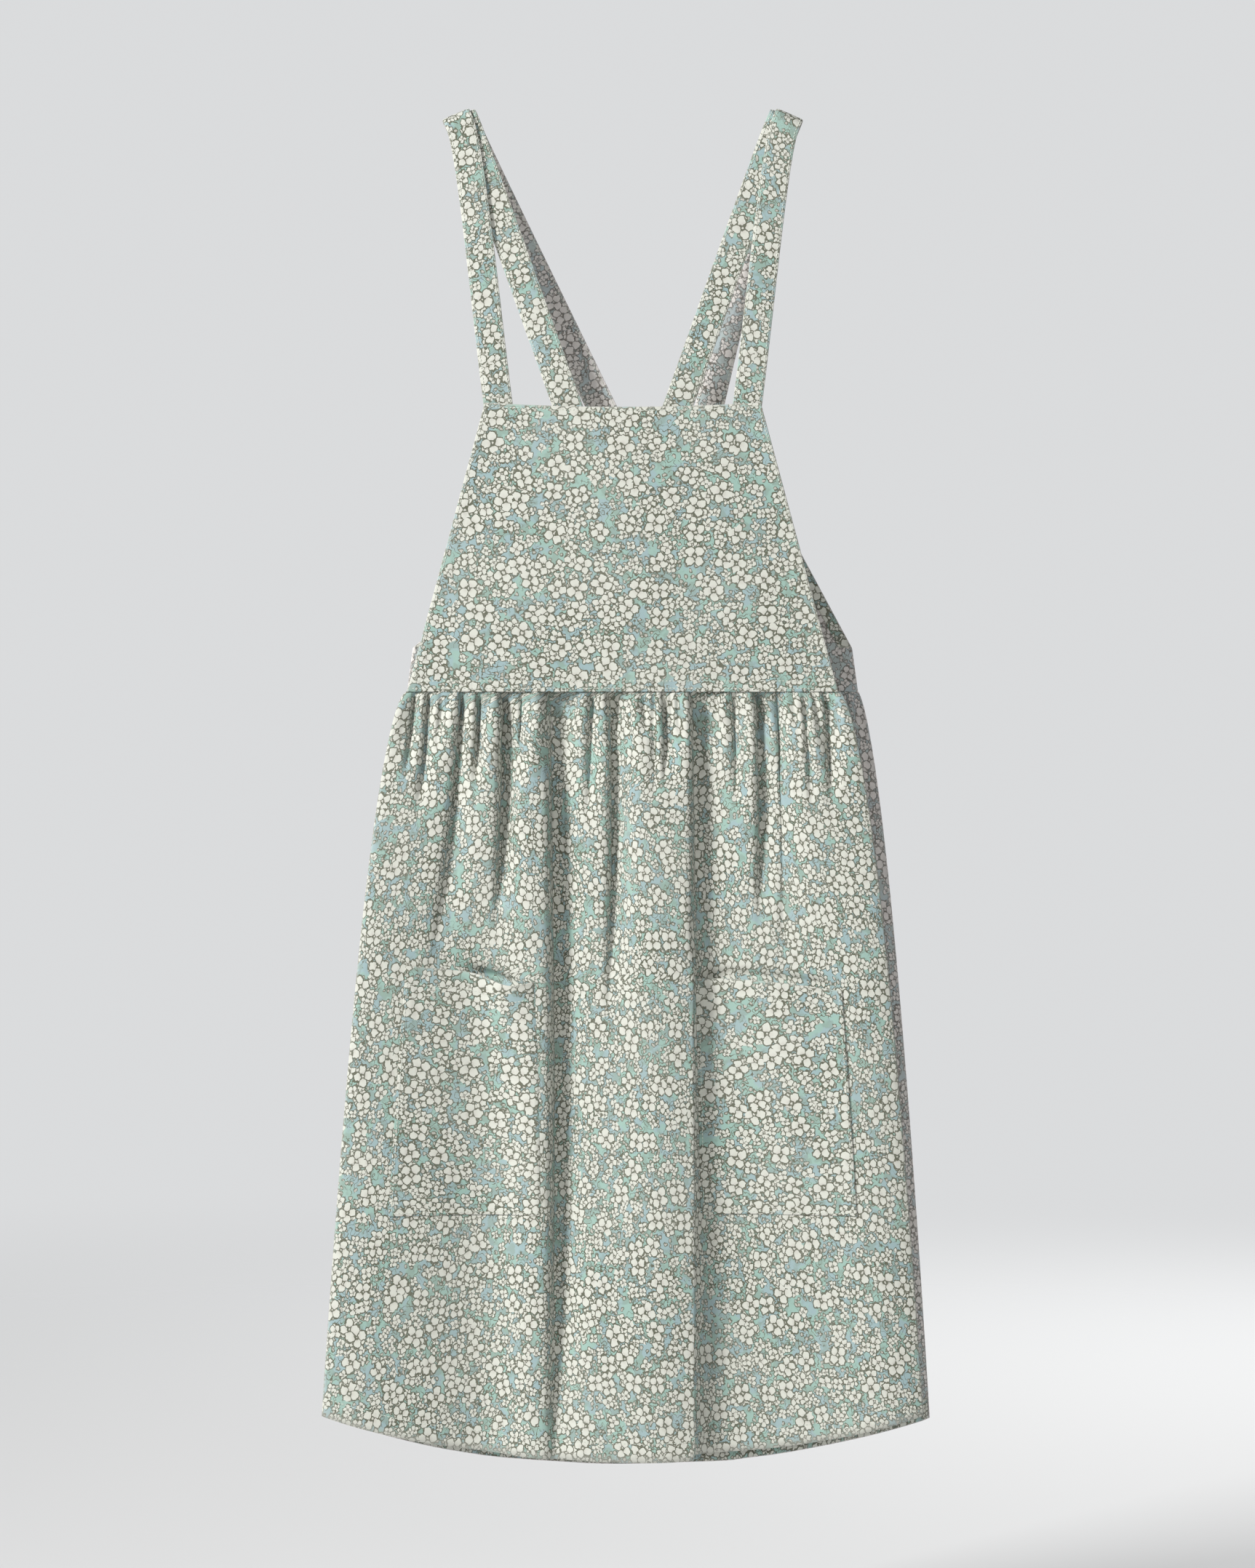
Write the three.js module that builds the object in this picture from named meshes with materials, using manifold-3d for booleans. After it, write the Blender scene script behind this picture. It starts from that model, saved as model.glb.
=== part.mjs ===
// A pinafore smock apron of printed cotton, hanging from its shoulder straps, in millimetres.
// +Z is up, -Y is the front, and X runs across it. The origin is midway between the two places
// where the straps lie over a hanger, and the cloth hangs below it.
import * as THREE from "three";
import { mergeVertices } from "three/addons/utils/BufferGeometryUtils.js";
import Module from "manifold-3d";

const wasm = await Module();
wasm.setup();

// Cloth
const CLOTH = 1.6; // a panel with its turned edges
const STRAP_THICK = 2; // a strap, folded to four layers
const GAP = 0.5; // between layers sewn face to face

// Straps and the hanger arm they lie over
const STRAP_WIDTH = 24;
const SHOULDER_SPAN = 264; // between the middles of the two folds
const ARM_SLOPE = THREE.MathUtils.degToRad(23.5);
const ARM_DEPTH = 18; // front to back
const ARM_ROUND = 5; // the radius of its top edges
const STRAP_DROP = 237; // from the folds to the bib's top edge
const STRAP_TAIL = 14; // sewn in behind a top edge
const INNER_FOOT = 41; // from the middle to where an inner strap goes in
const OUTER_STEP = 4.4; // the outer strap lies this much further down the arm
const OUTER_BACK_TAIL = 38; // of the outer strap, behind the arm

// Bib
const BIB_TOP = 226;
const BIB_HEIGHT = 237;
const WAIST = 354;
const TOP_DEPTH = 20; // from the middle of the apron to a panel's outer face, at its top
const WAIST_DEPTH = 15; // and at the waist
const TOP_FACING = 35; // depth of the facing behind a top edge
const EDGE_FACING = 11; // width of the facing behind an armhole edge
const SIDE_SEAM = 37; // from the underarm corner down to the waist

// Back panel of the bodice, which hangs a little to one side
const BACK_TOP = 179;
const BACK_HEIGHT = 152;
const UNDERARM_EASE = 15; // at the underarm corners the back is this much wider on each side
const BACK_EASE = 10; // and this much at the waist
const BACK_HEM_EASE = 5;
const BACK_LEAN = 39; // of its top edge
const BACK_WAIST_LEAN = 8; // from the underarm corners down to the waist
const BACK_HEM_LEAN = 4;
const BACK_SETTLE = 0.3; // how soon the back skirt goes from the waist's ease to the hem's
const STRAP_APART = 18; // between the middles of the two straps at the back's top edge

// Waist tape and stitching
const TAPE_HEIGHT = 12;
const TAPE_INSET = 5; // from the side seams
const THREAD = 0.8;
const THREAD_HEIGHT = 0.5;
const STITCH_LOW = 3; // above the waist seam
const STITCH_HIGH = 9;
const STITCH_INSET = 3; // from the bib's edges

// Skirt panels
const SKIRT_LENGTH = 631; // at the middle
const HEM = 492;
const HEM_RISE = 38; // of the hem at the side edges
const FLARE_POWER = 0.57; // how soon the skirt widens below the waist
const SKIRT_BELLY = 6; // how far the gathers push the cloth out
const FOLDS = 9;
const GATHER = 4; // half the depth of the gathers at the waist
const RIPPLE = 1; // and where they have fallen out
const GATHER_FADE = 0.12; // the share of the length in which they fall out
const BACK_DROP = 4; // the back hem hangs this much lower
const HEM_FACING = 18;

// Pockets
const POCKET_DROP = 234; // from the waist to the mouth
const POCKET_DEPTH = 195;
const POCKET_INNER = 60; // from the middle to the inner edge, at the mouth
const POCKET_WIDTH = 118;
const POCKET_ROOM = 9; // between the skirt and the pocket's cloth
const POCKET_CLEAR = 0.6; // between the skirt and the pocket's sewn edge
const MOUTH_FACING = 16;

// How finely the curved pieces are divided
const ARM_TURNS = 3;
const LEG_STEPS = 6;
const SKIRT_CELLS = FOLDS * 6;
const SKIRT_ROWS = 9;
const POCKET_CELLS = 18;
const POCKET_ROWS = 4;

const FRONT = -1;
const BACK = 1;
const LEFT = -1;
const RIGHT = 1;
const lerp = THREE.MathUtils.lerp;

const bibTopZ = -STRAP_DROP;
const waistZ = bibTopZ - BIB_HEIGHT;
const backTopZ = waistZ + BACK_HEIGHT;
const underarmZ = waistZ + SIDE_SEAM;
const mouthZ = waistZ - POCKET_DROP;

const PRINT = { color: 0xa3b7a9, roughness: 0.86, metalness: 0 };
const WRONG_SIDE = { color: 0x8d9a99, roughness: 0.9, metalness: 0 };
const STITCHES = { color: 0xdfe4d6, roughness: 0.6, metalness: 0 };

const apron = new THREE.Group();

function add(name, geometry, finish) {
  const mesh = new THREE.Mesh(geometry, new THREE.MeshStandardMaterial(finish));
  mesh.name = name;
  apron.add(mesh);
  return mesh;
}

// A block of cells bent to a shape: place(u, w, v) gives the point for u across, w through and
// v up the block, each from 0 to 1.
function bentBlock(across, up, place) {
  const geometry = new THREE.BoxGeometry(1, 1, 1, across, 1, up);
  const spots = geometry.attributes.position;
  for (let i = 0; i < spots.count; i++) {
    const p = place(spots.getX(i) + 0.5, spots.getY(i) + 0.5, spots.getZ(i) + 0.5);
    spots.setXYZ(i, p.x, p.y, p.z);
  }
  geometry.computeVertexNormals();
  return geometry;
}

// A layer of cloth in a front or back panel. outline(u, v) gives x and z, and outer(x, z) the
// panel's outer face as a depth from the middle; the layer starts inset inside that face.
function layer(side, across, up, outline, outer, inset, thick) {
  return bentBlock(across, up, (u, w, v) => {
    const { x, z } = outline(u, v);
    const through = side === FRONT ? w : 1 - w;
    return new THREE.Vector3(x, side * (outer(x, z) - inset - through * thick), z);
  });
}

// An outline between two heights and two side edges, which are functions of z.
function between(low, high, leftEdge, rightEdge) {
  return (u, v) => {
    const z = lerp(low, high, v);
    return { x: lerp(leftEdge(z), rightEdge(z), u), z };
  };
}

// Bodice shapes
const bibHalf = (z) => lerp(WAIST / 2, BIB_TOP / 2, (z - waistZ) / BIB_HEIGHT);
const bodiceDepth = (x, z) => lerp(WAIST_DEPTH, TOP_DEPTH, (z - waistZ) / BIB_HEIGHT);
const aboveArms = (z) => Math.max(0, z - underarmZ) / (BACK_HEIGHT - SIDE_SEAM);
const backMiddle = (z) => lerp(BACK_WAIST_LEAN, BACK_LEAN, aboveArms(z));
const backWaistHalf = WAIST / 2 + BACK_EASE;
const backUnderarmHalf = bibHalf(underarmZ) + UNDERARM_EASE;
const backHalf = (z) =>
  z < underarmZ
    ? lerp(backWaistHalf, backUnderarmHalf, (z - waistZ) / SIDE_SEAM)
    : lerp(backUnderarmHalf, BACK_TOP / 2, aboveArms(z));
const bibEdge = (side, inset) => (z) => side * (bibHalf(z) - inset);
const backEdge = (side, inset) => (z) => backMiddle(z) + side * (backHalf(z) - inset);
// A side seam lies just inside whichever panel is the narrower.
const seamEdge = (side, inset) => (z) =>
  side * (Math.min(Math.abs(bibEdge(side, GAP)(z)), Math.abs(backEdge(side, GAP)(z))) - inset);

// Depths of the layers inside the bodice's outer faces
const behindPanel = CLOTH + GAP;
const bibFacingInset = behindPanel + STRAP_THICK + GAP;
const innerTailInset = bibFacingInset + CLOTH + GAP;
const secondTailInset = behindPanel + STRAP_THICK + GAP;
const backFacingInset = secondTailInset + STRAP_THICK + GAP;

// The bib, its top facing and the facings of its armhole edges
function makeBib() {
  const whole = between(waistZ, bibTopZ, bibEdge(LEFT, 0), bibEdge(RIGHT, 0));
  add("bib_front", layer(FRONT, 6, 4, whole, bodiceDepth, 0, CLOTH), PRINT);
  const facingLow = bibTopZ - TOP_FACING;
  const top = between(facingLow, bibTopZ - GAP, bibEdge(LEFT, GAP), bibEdge(RIGHT, GAP));
  add("bib_top_facing", layer(FRONT, 4, 1, top, bodiceDepth, bibFacingInset, CLOTH), WRONG_SIDE);
  for (const side of [LEFT, RIGHT]) {
    const edges = [bibEdge(side, GAP), bibEdge(side, EDGE_FACING)];
    if (side === RIGHT) edges.reverse();
    const strip = between(underarmZ + GAP, facingLow - GAP, ...edges);
    const name = side === LEFT ? "bib_armhole_facing_left" : "bib_armhole_facing_right";
    add(name, layer(FRONT, 1, 3, strip, bodiceDepth, behindPanel, CLOTH), WRONG_SIDE);
  }
}

// The back panel of the bodice and its facings
function makeBack() {
  const bothParts = (u, v) => {
    const z = v < 0.25 ? lerp(waistZ, underarmZ, v * 4) : lerp(underarmZ, backTopZ, (v * 4 - 1) / 3);
    return { x: lerp(backEdge(LEFT, 0)(z), backEdge(RIGHT, 0)(z), u), z };
  };
  add("back_bodice", layer(BACK, 6, 4, bothParts, bodiceDepth, 0, CLOTH), PRINT);
  const facingLow = backTopZ - TOP_FACING;
  const top = between(facingLow, backTopZ - GAP, backEdge(LEFT, GAP), backEdge(RIGHT, GAP));
  add("back_top_facing", layer(BACK, 4, 1, top, bodiceDepth, backFacingInset, CLOTH), WRONG_SIDE);
  for (const side of [LEFT, RIGHT]) {
    const edges = [backEdge(side, GAP), backEdge(side, EDGE_FACING)];
    if (side === RIGHT) edges.reverse();
    const strip = between(underarmZ + GAP, facingLow - GAP, ...edges);
    const name = side === LEFT ? "back_armhole_facing_left" : "back_armhole_facing_right";
    add(name, layer(BACK, 1, 2, strip, bodiceDepth, behindPanel, CLOTH), WRONG_SIDE);
  }
}

// The tapes inside the waist seam, which cover and hold the gathers' raw edges
function makeWaistTapes() {
  const inset = CLOTH + TAPE_INSET;
  const edges = [seamEdge(LEFT, inset), seamEdge(RIGHT, inset)];
  for (const side of [FRONT, BACK]) {
    const shape = between(waistZ + GAP, waistZ + TAPE_HEIGHT, ...edges);
    const name = side === FRONT ? "front_waist_tape" : "back_waist_tape";
    add(name, layer(side, 4, 1, shape, bodiceDepth, behindPanel, CLOTH), WRONG_SIDE);
  }
}

// The short side seams under the arms, each a strip that joins the bib to the back panel
function makeSideSeams() {
  for (const side of [LEFT, RIGHT]) {
    const name = side === LEFT ? "side_seam_left" : "side_seam_right";
    const strip = bentBlock(1, 2, (u, w, v) => {
      const z = lerp(waistZ + GAP, underarmZ - GAP, v);
      const inner = bodiceDepth(0, z) - behindPanel;
      const inset = (side === LEFT ? u : 1 - u) * CLOTH;
      return new THREE.Vector3(seamEdge(side, inset)(z), lerp(-inner, inner, w), z);
    });
    add(name, strip, PRINT);
  }
}

// A strap as stations along its middle line: each has a place, and the tilt of its width.
function strapBlock(stations) {
  const ahead = new THREE.Vector3();
  const steps = stations.length - 1;
  return bentBlock(1, steps, (u, w, v) => {
    const i = Math.round(v * steps);
    const { spot, tilt } = stations[i];
    const wide = new THREE.Vector3(Math.cos(tilt), 0, Math.sin(tilt));
    ahead.subVectors(stations[Math.min(i + 1, steps)].spot, stations[Math.max(i - 1, 0)].spot);
    const out = new THREE.Vector3().crossVectors(ahead, wide).normalize();
    return spot
      .clone()
      .addScaledVector(wide, (u - 0.5) * STRAP_WIDTH)
      .addScaledVector(out, (w - 0.5) * STRAP_THICK);
  });
}

// The part of a strap that lies over the hanger's arm, from its front to its back.
function overArm(side, lift, along) {
  const tilt = -side * ARM_SLOPE;
  const arm = new THREE.Vector3(Math.cos(tilt), 0, Math.sin(tilt));
  const up = new THREE.Vector3(-Math.sin(tilt), 0, Math.cos(tilt));
  const middle = new THREE.Vector3((side * SHOULDER_SPAN) / 2, 0, 0);
  middle.addScaledVector(arm, side * along);
  const flat = ARM_DEPTH / 2 - ARM_ROUND;
  const stations = [];
  for (const face of [FRONT, BACK]) {
    for (let step = 0; step <= ARM_TURNS; step++) {
      const share = face === FRONT ? step / ARM_TURNS : 1 - step / ARM_TURNS;
      const turn = (share * Math.PI) / 2;
      const round = ARM_ROUND + lift;
      const y = face * (flat + round * Math.cos(turn));
      const rise = round * Math.sin(turn) - ARM_ROUND;
      const spot = middle.clone().addScaledVector(up, rise);
      spot.y = y;
      stations.push({ spot, tilt });
    }
  }
  return stations;
}
// A leg of a strap from one end of the arm's curve to its foot, bending evenly between them.
function leg(start, tilt, foot, footTilt) {
  const down = new THREE.Vector3(Math.sin(tilt), 0, -Math.cos(tilt));
  const reach = start.distanceTo(foot) / 3;
  const bend = start.distanceTo(foot) / 10;
  const footDown = new THREE.Vector3(Math.sin(footTilt), 0, -Math.cos(footTilt));
  const curve = new THREE.CubicBezierCurve3(
    start,
    start.clone().addScaledVector(down, bend),
    foot.clone().addScaledVector(footDown, -reach),
    foot,
  );
  const stations = [];
  for (let step = 1; step <= LEG_STEPS; step++) {
    const share = step / LEG_STEPS;
    stations.push({ spot: curve.getPoint(share), tilt: lerp(tilt, footTilt, share) });
  }
  return stations;
}

// The foot of a strap, STRAP_TAIL below a panel's top edge.
function foot(x, edgeZ, side, inset) {
  const z = edgeZ - STRAP_TAIL;
  return new THREE.Vector3(x, side * (bodiceDepth(x, z) - inset - STRAP_THICK / 2), z);
}

const slopeTo = (from, to) => Math.atan2(to.x - from.x, from.z - to.z);

function makeStraps() {
  const lift = STRAP_THICK / 2;
  for (const side of [LEFT, RIGHT]) {
    const word = side === LEFT ? "left" : "right";

    // The inner strap runs over the arm and on down to the back panel.
    const over = overArm(side, lift, 0);
    const first = over[0];
    const last = over[over.length - 1];
    const innerFoot = foot(side * INNER_FOOT, bibTopZ, FRONT, innerTailInset);
    const backFoot = foot(
      BACK_LEAN + (side * STRAP_APART) / 2,
      backTopZ,
      BACK,
      side === LEFT ? secondTailInset : behindPanel,
    );
    const innerStations = [
      ...leg(first.spot, first.tilt, innerFoot, slopeTo(first.spot, innerFoot)).reverse(),
      ...over,
      ...leg(last.spot, last.tilt, backFoot, slopeTo(last.spot, backFoot)),
    ];
    add("cross_strap_" + word, strapBlock(innerStations), PRINT);

    // The outer strap lies over it, and ends behind the arm.
    const outerOver = overArm(side, lift + STRAP_THICK + GAP, OUTER_STEP);
    const outerFirst = outerOver[0];
    const outerLast = outerOver[outerOver.length - 1];
    const outerX = side * (BIB_TOP / 2 - STRAP_WIDTH / 2 - GAP);
    const outerFoot = foot(outerX, bibTopZ, FRONT, behindPanel);
    const tailEnd = outerLast.spot.clone();
    tailEnd.x += Math.sin(outerLast.tilt) * OUTER_BACK_TAIL;
    tailEnd.z -= Math.cos(outerLast.tilt) * OUTER_BACK_TAIL;
    tailEnd.y += GAP;
    const outerStations = [
      ...leg(outerFirst.spot, outerFirst.tilt, outerFoot, slopeTo(outerFirst.spot, outerFoot)).reverse(),
      ...outerOver,
      { spot: tailEnd, tilt: outerLast.tilt },
    ];
    add("outer_strap_" + word, strapBlock(outerStations), PRINT);
  }
}

// The rows of stitching that show on the bib
function makeStitching() {
  const rows = [
    ["bib_top_stitching", bibTopZ - STITCH_INSET],
    ["waist_stitching_upper", waistZ + STITCH_HIGH],
    ["waist_stitching_lower", waistZ + STITCH_LOW],
  ];
  for (const [name, z] of rows) {
    const edge = (side) => bibEdge(side, STITCH_INSET);
    const row = between(z - THREAD / 2, z + THREAD / 2, edge(LEFT), edge(RIGHT));
    add(name, layer(FRONT, 1, 1, row, bodiceDepth, -GAP - THREAD_HEIGHT, THREAD_HEIGHT), STITCHES);
  }
}

// Skirt shapes: fall is the share of the way from the waist to the lowest point of the hem.
const fallAt = (z) => THREE.MathUtils.clamp((waistZ - z) / SKIRT_LENGTH, 0, 1);
const skirtHalf = (z, ease) => lerp(WAIST, HEM, fallAt(z) ** FLARE_POWER) / 2 + ease;
const settled = (z) => fallAt(z) ** BACK_SETTLE;
const easeOf = (side, z) => (side === BACK ? lerp(BACK_EASE, BACK_HEM_EASE, settled(z)) : 0);
const leanOf = (side, z) => (side === BACK ? lerp(BACK_WAIST_LEAN, BACK_HEM_LEAN, settled(z)) : 0);
const hemLow = (side) => waistZ - SKIRT_LENGTH - (side === BACK ? BACK_DROP : 0);

function skirtDepth(side) {
  return (x, z) => {
    const fall = fallAt(z);
    const swell = SKIRT_BELLY * (1 - Math.exp(-fall / GATHER_FADE));
    const half = RIPPLE + (GATHER - RIPPLE) * Math.exp(-fall / GATHER_FADE);
    const share = (x - leanOf(side, z)) / skirtHalf(z, easeOf(side, z));
    return WAIST_DEPTH + swell + half * Math.cos(share * FOLDS * Math.PI);
  };
}

// The outline of a skirt panel between two distances above its curved hem, or up to the waist.
function skirtOutline(side, aboveHem, belowTop, inset) {
  return (u, v) => {
    const share = 2 * u - 1;
    const hemZ = hemLow(side) + HEM_RISE * Math.abs(share) ** 2.2;
    const low = hemZ + aboveHem;
    const high = belowTop === null ? waistZ - GAP : hemZ + belowTop;
    const z = lerp(low, high, v);
    return { x: leanOf(side, z) + share * (skirtHalf(z, easeOf(side, z)) - inset), z };
  };
}

function makeSkirts() {
  for (const side of [FRONT, BACK]) {
    const panel = skirtOutline(side, 0, null, 0);
    const name = side === FRONT ? "skirt_front" : "skirt_back";
    add(name, layer(side, SKIRT_CELLS, SKIRT_ROWS, panel, skirtDepth(side), 0, CLOTH), PRINT);
    const strip = skirtOutline(side, GAP, HEM_FACING, 0);
    const facing = layer(side, SKIRT_CELLS, 1, strip, skirtDepth(side), behindPanel, CLOTH);
    add(side === FRONT ? "hem_facing_front" : "hem_facing_back", facing, WRONG_SIDE);
  }
}

// A block in a pocket's place: grow is how far it reaches past the pocket's cut edges.
function pocketBlock(side, sideGrow, low, high, inset, thick) {
  const outer = skirtDepth(FRONT);
  const spreadAt = (z) => skirtHalf(z, 0) / skirtHalf(mouthZ, 0);
  const nearEdge = (z) => POCKET_INNER * spreadAt(z) - sideGrow;
  const farEdge = (z) => (POCKET_INNER + POCKET_WIDTH) * spreadAt(z) + sideGrow;
  const edges =
    side === RIGHT ? [nearEdge, farEdge] : [(z) => -farEdge(z), (z) => -nearEdge(z)];
  return layer(FRONT, POCKET_CELLS, POCKET_ROWS, between(low, high, ...edges), outer, inset, thick);
}
// A closed geometry as a solid for joining and cutting, and back.
function solidOf(geometry) {
  const bare = new THREE.BufferGeometry();
  bare.setAttribute("position", geometry.toNonIndexed().getAttribute("position"));
  const merged = mergeVertices(bare, 1e-3);
  return new wasm.Manifold(
    new wasm.Mesh({
      numProp: 3,
      vertProperties: merged.attributes.position.array,
      triVerts: new Uint32Array(merged.index.array),
    }),
  );
}

function geometryOf(solid) {
  const { vertProperties, triVerts } = solid.getMesh();
  const geometry = new THREE.BufferGeometry();
  geometry.setAttribute("position", new THREE.BufferAttribute(vertProperties, 3));
  geometry.setIndex(new THREE.BufferAttribute(triVerts, 1));
  geometry.computeVertexNormals();
  return geometry;
}

// A pocket is a shallow pouch, open at its mouth and closed behind by the skirt.
function makePockets() {
  const low = mouthZ - POCKET_DEPTH;
  const face = -(POCKET_CLEAR + POCKET_ROOM + CLOTH);
  for (const side of [LEFT, RIGHT]) {
    const word = side === LEFT ? "left" : "right";
    const whole = pocketBlock(side, 0, low, mouthZ, face, POCKET_ROOM + CLOTH);
    const past = POCKET_ROOM / 2;
    const room = pocketBlock(side, -CLOTH, low + CLOTH, mouthZ + past, face + CLOTH, POCKET_ROOM + past);
    add("pocket_" + word, geometryOf(solidOf(whole).subtract(solidOf(room))), PRINT);
    const facing = pocketBlock(
      side,
      -CLOTH - GAP,
      mouthZ - MOUTH_FACING,
      mouthZ - GAP,
      face + behindPanel,
      CLOTH,
    );
    add("pocket_mouth_facing_" + word, facing, WRONG_SIDE);
  }
}

makeBib();
makeBack();
makeWaistTapes();
makeSideSeams();
makeStraps();
makeStitching();
makeSkirts();
makePockets();

export default apron;
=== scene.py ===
import math

import bpy
import numpy as np
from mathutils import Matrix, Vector


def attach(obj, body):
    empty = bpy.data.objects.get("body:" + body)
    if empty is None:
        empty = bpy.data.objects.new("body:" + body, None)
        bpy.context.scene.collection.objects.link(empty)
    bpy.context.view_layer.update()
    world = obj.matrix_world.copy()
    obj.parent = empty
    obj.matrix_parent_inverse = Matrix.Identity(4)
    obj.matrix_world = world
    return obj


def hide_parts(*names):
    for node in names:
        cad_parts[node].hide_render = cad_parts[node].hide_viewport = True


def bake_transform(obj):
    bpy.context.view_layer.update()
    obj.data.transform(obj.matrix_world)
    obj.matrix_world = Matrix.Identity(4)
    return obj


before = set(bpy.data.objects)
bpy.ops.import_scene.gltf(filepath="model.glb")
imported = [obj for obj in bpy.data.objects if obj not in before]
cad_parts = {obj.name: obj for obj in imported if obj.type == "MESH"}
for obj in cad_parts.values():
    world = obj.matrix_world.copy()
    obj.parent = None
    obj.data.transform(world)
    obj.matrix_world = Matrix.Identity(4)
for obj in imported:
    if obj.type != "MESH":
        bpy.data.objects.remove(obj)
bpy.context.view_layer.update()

# ---------------------------------------------------------------------------------------------
# The bib: a trapezium of printed cotton, 354 mm wide at the waist and 226 mm at the top.
# Its slanted edges are turned in over 9 mm and stitched down, and two straps are caught in the
# seam of its top edge.
# ---------------------------------------------------------------------------------------------
WAIST_Z = -0.474
BIB_TOP_Z = -0.237
BIB_HEIGHT = BIB_TOP_Z - WAIST_Z
WAIST_HALF = 0.177
BIB_TOP_HALF = 0.113
WAIST_DEPTH = 0.015
TOP_DEPTH = 0.020
CLOTH_THICK = 0.0008
TURNED_EDGE = 0.009
RUBBED_WIDTH = 0.0012
TOP_SAG = 0.0035

PETAL_CREAM = (0.70, 0.705, 0.63, 1)
PETAL_SHADE = (0.61, 0.595, 0.53, 1)
OLIVE_LINE = (0.126, 0.130, 0.088, 1)
GROUND_BLUE = (0.348, 0.474, 0.488, 1)
GROUND_MINT = (0.345, 0.515, 0.450, 1)
GROUND_SAGE = (0.27, 0.36, 0.305, 1)


def add_node(tree, kind, feeds, **settings):
    """A node of a finish, with its inputs linked to other nodes or set to plain values."""
    node = tree.nodes.new("ShaderNode" + kind)
    for key, value in settings.items():
        setattr(node, key, value)
    for key, feed in feeds.items():
        if isinstance(feed, bpy.types.NodeSocket):
            tree.links.new(feed, node.inputs[key])
        else:
            node.inputs[key].default_value = feed
    return node


def reckon(tree, operation, *feeds):
    """One sum on the values of a pattern."""
    return add_node(tree, "Math", dict(enumerate(feeds)), operation=operation).outputs[0]


def soft_step(tree, value, none, full):
    """0 where the value is at none, 1 where it is at full, and smooth between them."""
    feeds = {"Value": value, "From Min": none, "From Max": full}
    return add_node(tree, "MapRange", feeds, interpolation_type="SMOOTHSTEP").outputs[0]


def over_print(tree, share, under, ink):
    """One ink laid over what is printed already."""
    return add_node(tree, "Mix", {0: share, 6: under, 7: ink}, data_type="RGBA").outputs[2]


def blotches(tree, cloth, size, detail=2.0):
    """Uneven soft patches of a size in metres, from 0 to 1 and mostly near 0.5."""
    feeds = {"Vector": cloth, "Scale": 1 / size, "Detail": detail, "Roughness": 0.5}
    return add_node(tree, "TexNoise", feeds, noise_dimensions="2D").outputs["Fac"]


def blossom_print():
    """One size of four-petalled blossom scattered over the cloth, each turned its own way."""
    group = bpy.data.node_groups.new("blossoms", "ShaderNodeTree")
    group.interface.new_socket(name="Cloth", in_out="INPUT", socket_type="NodeSocketVector")
    for name in ("Spacing", "Radius", "Share", "Outline"):
        group.interface.new_socket(name=name, in_out="INPUT", socket_type="NodeSocketFloat")
    for name in ("Petals", "Lines", "Inner"):
        group.interface.new_socket(name=name, in_out="OUTPUT", socket_type="NodeSocketFloat")
    given = group.nodes.new("NodeGroupInput").outputs
    made = group.nodes.new("NodeGroupOutput").inputs
    feeds = {
        "Vector": given["Cloth"],
        "Scale": reckon(group, "DIVIDE", 1, given["Spacing"]),
        "Randomness": 0.86,
    }
    beds = add_node(group, "TexVoronoi", feeds, voronoi_dimensions="2D").outputs
    feeds = {0: given["Cloth"], 1: beds["Position"]}
    away = add_node(group, "VectorMath", feeds, operation="SUBTRACT").outputs[0]
    spot = add_node(group, "SeparateXYZ", {0: away}).outputs
    chosen = add_node(group, "SeparateColor", {0: beds["Color"]}).outputs
    size = reckon(group, "MULTIPLY_ADD", chosen[2], 0.26, 0.87)
    radius = reckon(group, "MULTIPLY", given["Radius"], size)
    length = add_node(group, "VectorMath", {0: away}, operation="LENGTH").outputs[1]
    reach = reckon(group, "DIVIDE", length, radius)
    turn = reckon(group, "MULTIPLY", chosen[0], 2 * math.pi)
    angle = reckon(group, "ADD", reckon(group, "ARCTAN2", spot[1], spot[0]), turn)
    leaf = reckon(group, "WRAP", angle, math.pi / 4, -math.pi / 4)
    along = reckon(group, "MULTIPLY", reach, reckon(group, "COSINE", leaf))
    along = reckon(group, "ABSOLUTE", reckon(group, "SUBTRACT", along, 0.575))
    aside = reckon(group, "MULTIPLY", reach, reckon(group, "SINE", leaf))
    aside = reckon(group, "ABSOLUTE", aside)
    along = reckon(group, "POWER", reckon(group, "DIVIDE", along, 0.365), 2.4)
    aside = reckon(group, "POWER", reckon(group, "DIVIDE", aside, 0.355), 2.4)
    edge = reckon(group, "POWER", reckon(group, "ADD", along, aside), 1 / 2.4)
    line = reckon(group, "DIVIDE", given["Outline"], reckon(group, "MULTIPLY", radius, 0.38))
    line = reckon(group, "ADD", line, 1)
    petals = soft_step(group, edge, 1.02, 0.92)
    pip = soft_step(group, reach, 0.12, 0.07)
    lines = soft_step(group, reckon(group, "SUBTRACT", edge, line), 0.12, -0.06)
    middle = soft_step(group, reach, 0.24, 0.18)
    crowd = reckon(group, "MULTIPLY_ADD", blotches(group, beds["Position"], 0.026), 1.8, -0.9)
    kept = reckon(group, "LESS_THAN", chosen[1], reckon(group, "ADD", given["Share"], crowd))
    whole = reckon(group, "MAXIMUM", petals, pip)
    drawn = reckon(group, "MAXIMUM", lines, middle)
    group.links.new(reckon(group, "MULTIPLY", whole, kept), made["Petals"])
    group.links.new(reckon(group, "MULTIPLY", drawn, kept), made["Lines"])
    group.links.new(soft_step(group, reach, 0.62, 0.25), made["Inner"])
    return group


blossoms = blossom_print()


def empty_finish(name):
    """A new material and its node tree, with nothing in it yet."""
    finish = bpy.data.materials.new(name)
    finish.use_nodes = True
    finish.node_tree.nodes.clear()
    return finish, finish.node_tree


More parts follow.
